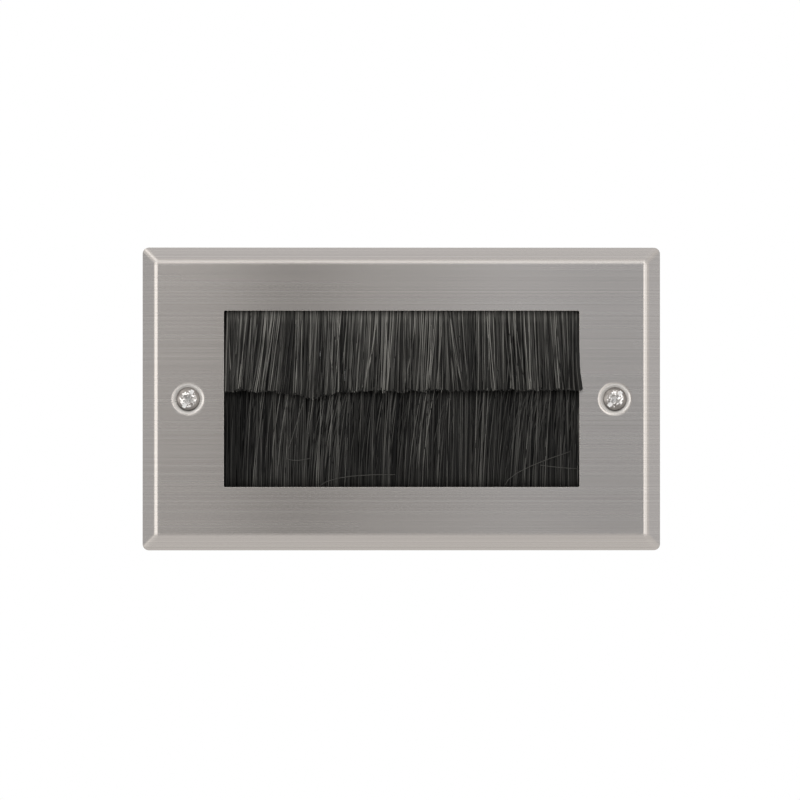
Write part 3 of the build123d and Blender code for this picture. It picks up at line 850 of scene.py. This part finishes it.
def threaded_screw(side, plating, head_plating, recess):
    """The screw's own head and neck, with a real thread in place of its plain shank."""
    node = f"fixing_screw_{side}"
    x = SCREW_X if side == "right" else -SCREW_X
    apex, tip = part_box(node)
    vertices, faces, neck_end = screw_head(node, x)
    core = SCREW_RADIUS - THREAD_DEPTH * SCREW_PITCH
    point_y = tip.y - POINT_LENGTH
    profile = [
        (NECK_RADIUS, neck_end),
        (core, neck_end + NECK_RADIUS - core),
        (core, point_y),
        (core * POINT_SHARE, tip.y),
    ]
    ridge = thread_ridge(SCREW_RADIUS, SCREW_PITCH, neck_end + SCREW_PITCH, point_y)
    shape = joined([(vertices, faces), turned_rings(profile, open_start=True), ridge], x, 0.0)
    piece = finished_piece(f"threaded_screw_{side}", shape, [plating, head_plating, recess])
    finish_head(piece, x, apex.y, max(math.hypot(vx, vz) for vx, _, vz in vertices))
    return piece


def threaded_stud(number, material):
    """A weld stud with its flange, a real thread in place of its plain shank."""
    low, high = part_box(f"weld_stud_{number}")
    core = STUD_RADIUS - THREAD_DEPTH * STUD_PITCH
    flange_y = low.y + STUD_FLANGE_THICKNESS
    end_y = high.y - STUD_CHAMFER
    profile = [
        (STUD_FLANGE_RADIUS, low.y),
        (STUD_FLANGE_RADIUS, flange_y),
        (core, flange_y),
        (core, end_y),
        (core - STUD_CHAMFER / 2, high.y),
    ]
    ridge = thread_ridge(STUD_RADIUS, STUD_PITCH, flange_y + STUD_PITCH, end_y)
    middle = (low + high) / 2
    shape = joined([turned_rings(profile), ridge], middle.x, middle.z)
    return finished_piece(f"threaded_stud_{number}", shape, [material])


def placed(azimuth, elevation, distance):
    """The point seen from the plate in that direction. Azimuth 0 is in front of it, 90 to its right."""
    turn = math.radians(azimuth)
    rise = math.radians(elevation)
    level = math.cos(rise)
    return Vector((math.sin(turn) * level, -math.cos(turn) * level, math.sin(rise))) * distance


def aimed(thing, place, target):
    """Puts a camera or lamp at the place, looking at the target."""
    thing.location = place
    thing.rotation_euler = (target - place).to_track_quat("-Z", "Y").to_euler()


def softbox(name, azimuth, elevation, distance, width, height, radiance):
    """A rectangular lamp that faces the plate, as bright as that radiance all over."""
    data = bpy.data.lights.new(name, "AREA")
    data.shape = "RECTANGLE"
    data.size = width
    data.size_y = height
    data.energy = radiance * math.pi * width * height
    lamp = bpy.data.objects.new(name, data)
    bpy.context.scene.collection.objects.link(lamp)
    aimed(lamp, placed(azimuth, elevation, distance), Vector((0, 0, 0)))


def card(name, place, target, width, height, light):
    """A card that the metal reflects and the camera doesn't see. light(tree) is its colour and strength."""
    bpy.ops.mesh.primitive_plane_add(size=1.0)
    made = bpy.context.object
    made.name = name
    made.scale = (width, height, 1.0)
    aimed(made, place, target)
    material, tree = new_material(name)
    close_material(tree, add(tree, "Emission", light(tree)))
    made.data.materials.append(material)
    made.visible_camera = False
    made.visible_shadow = False


def plain_light(strength):
    """The light of a card that is evenly bright."""
    return lambda tree: {"Color": CARD_TINT, "Strength": strength}


def front_card_light(tree):
    """Light of the front card: brighter upwards, cooler to the right, with soft upright bands."""
    place = add(tree, "TexCoord").outputs["Generated"]
    split = add(tree, "SeparateXYZ", {"Vector": place}).outputs
    bands = add(tree, "ValToRGB", {"Fac": split["X"]})
    bands.color_ramp.interpolation = "EASE"
    stops = bands.color_ramp.elements
    while len(stops) < len(FRONT_CARD_TONES):
        stops.new(0.5)
    brightest = max(tone for _, tone in FRONT_CARD_TONES)
    for stop, (position, tone) in zip(stops, FRONT_CARD_TONES):
        stop.position = position
        stop.color = (tone / brightest, tone / brightest, tone / brightest, 1.0)
    rise = spread(tree, split["Y"], (0.0, 1.0), FRONT_CARD_LIGHTS)
    scaled = calculated(tree, "MULTIPLY", rise, brightest)
    strength = calculated(tree, "MULTIPLY", scaled, bands.outputs["Color"])
    cool = spread(tree, split["X"], FRONT_CARD_COOLING)
    return {"Color": mixed(tree, cool, FRONT_CARD_COLOURS), "Strength": strength}


def surroundings():
    """A world that looks white to the camera and in reflections, and lights the plate less than that."""
    world = bpy.data.worlds.new("studio")
    bpy.context.scene.world = world
    world.use_nodes = True
    tree = world.node_tree
    tree.nodes.clear()
    path = add(tree, "LightPath").outputs
    seen = calculated(tree, "MAXIMUM", path["Is Camera Ray"], path["Is Glossy Ray"])
    seen = calculated(tree, "MAXIMUM", seen, path["Is Transmission Ray"])
    strength = spread(tree, seen, (0.0, 1.0), (AMBIENT, 1.0))
    background = add(tree, "Background", {"Color": (1, 1, 1, 1), "Strength": strength})
    add(tree, "OutputWorld", {"Surface": background.outputs[0]})


def pale_floor():
    """A round pale floor below the plate, nearly white to the camera and white in reflections."""
    bpy.ops.mesh.primitive_circle_add(
        vertices=FLOOR_SIDES, radius=FLOOR_RADIUS, fill_type="NGON", location=(0, 0, FLOOR_Z)
    )
    floor = bpy.context.object
    floor.name = "floor"
    material, tree = new_material("pale_floor")
    shader = add(tree, "BsdfPrincipled", {
        "Base Color": mixed(tree, even_noise(tree, FLOOR_CLOUDS, detail=2.0), FLOOR_COLOURS),
        "Roughness": 0.7,
    })
    white = add(tree, "Emission", {"Strength": 1.0})
    path = add(tree, "LightPath").outputs
    glow = calculated(tree, "MULTIPLY", path["Is Camera Ray"], FLOOR_GLOW)
    glow = calculated(tree, "MAXIMUM", glow, path["Is Glossy Ray"])
    close_material(tree, add(tree, "MixShader", {0: glow, 1: shader.outputs[0], 2: white.outputs[0]}))
    floor.data.materials.append(material)


def upright_card(name, x, z, width, height, light):
    """A card in front of the plate and parallel to it."""
    card(name, Vector((x, FRONT_CARD_Y, z)), Vector((x, 0, z)), width, height, light)


def cards():
    """The cards in front of the plate, at its sides and above it."""
    front_z = (FRONT_CARD_TOP + FRONT_CARD_BOTTOM) / 2
    front_height = FRONT_CARD_TOP - FRONT_CARD_BOTTOM
    upright_card("front_card", 0, front_z, FRONT_CARD_WIDTH, front_height, front_card_light)
    wing_light = plain_light(WING_CARD_LIGHT)
    upright_card("wing_card", WING_CARD_X, 0, WING_CARD_WIDTH, WING_CARD_HEIGHT, wing_light)
    for name, (azimuth, elevation, distance, width, height, strength) in PLAIN_CARDS.items():
        place = placed(azimuth, elevation, distance)
        card(name, place, Vector((0, 0, 0)), width, height, plain_light(strength))


def studio():
    """White surroundings, a pale floor under the plate, the cards and the lamps."""
    surroundings()
    pale_floor()
    cards()
    for name, settings in LAMPS.items():
        softbox(name, *settings)


def photo_camera():
    """Camera at the photo's angle, framing the plate as the photo does."""
    data = bpy.data.cameras.new("photo_camera")
    data.lens = CAMERA_LENS
    data.sensor_width = CAMERA_SENSOR
    camera = bpy.data.objects.new("photo_camera", data)
    bpy.context.scene.collection.objects.link(camera)
    offset = Vector((-PLATE_RIGHT_OF_MIDDLE, 0, -PLATE_ABOVE_MIDDLE)) * PHOTO_SCALE
    target = Vector((0, FACE_Y, 0)) + offset
    aimed(camera, placed(CAMERA_AZIMUTH, CAMERA_ELEVATION, CAMERA_DISTANCE) + target, target)
    bpy.context.scene.camera = camera


steel = brushed_steel()
head_nickel = nickel_head()
plated = {name: plated_metal(name, *settings) for name, settings in PLATINGS.items()}
black_nylon = nylon()
recess = recess_painted_glints()
finishes = {
    "plate_steel": steel,
    "retainer_plastic": moulded_plastic(),
    "bristle_nylon": black_nylon,
    "channel_metal": plated["galvanised"],
    "screw_plating": plated["nickel_plating"],
    "stud_steel": plated["stud_steel"],
    "zinc_plating": plated["zinc_plating"],
}
for subpart in frame["record"]["subparts"]:
    dress(subpart["node"], finishes[subpart["material_slot"]])

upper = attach(upper_row(black_nylon), "root")
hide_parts("upper_bristles")
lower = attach(lower_row(black_nylon), "root")
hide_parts("lower_bristles")
for screw_side in ("left", "right"):
    screw = threaded_screw(screw_side, plated["nickel_plating"], head_nickel, recess)
    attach(screw, "root")
    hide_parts(f"fixing_screw_{screw_side}")
for stud_number in STUD_NUMBERS:
    stud = threaded_stud(stud_number, plated["stud_steel"])
    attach(stud, "root")
    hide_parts(f"weld_stud_{stud_number}")

studio()
photo_camera()
scene = bpy.context.scene
scene.view_settings.view_transform = "Standard"
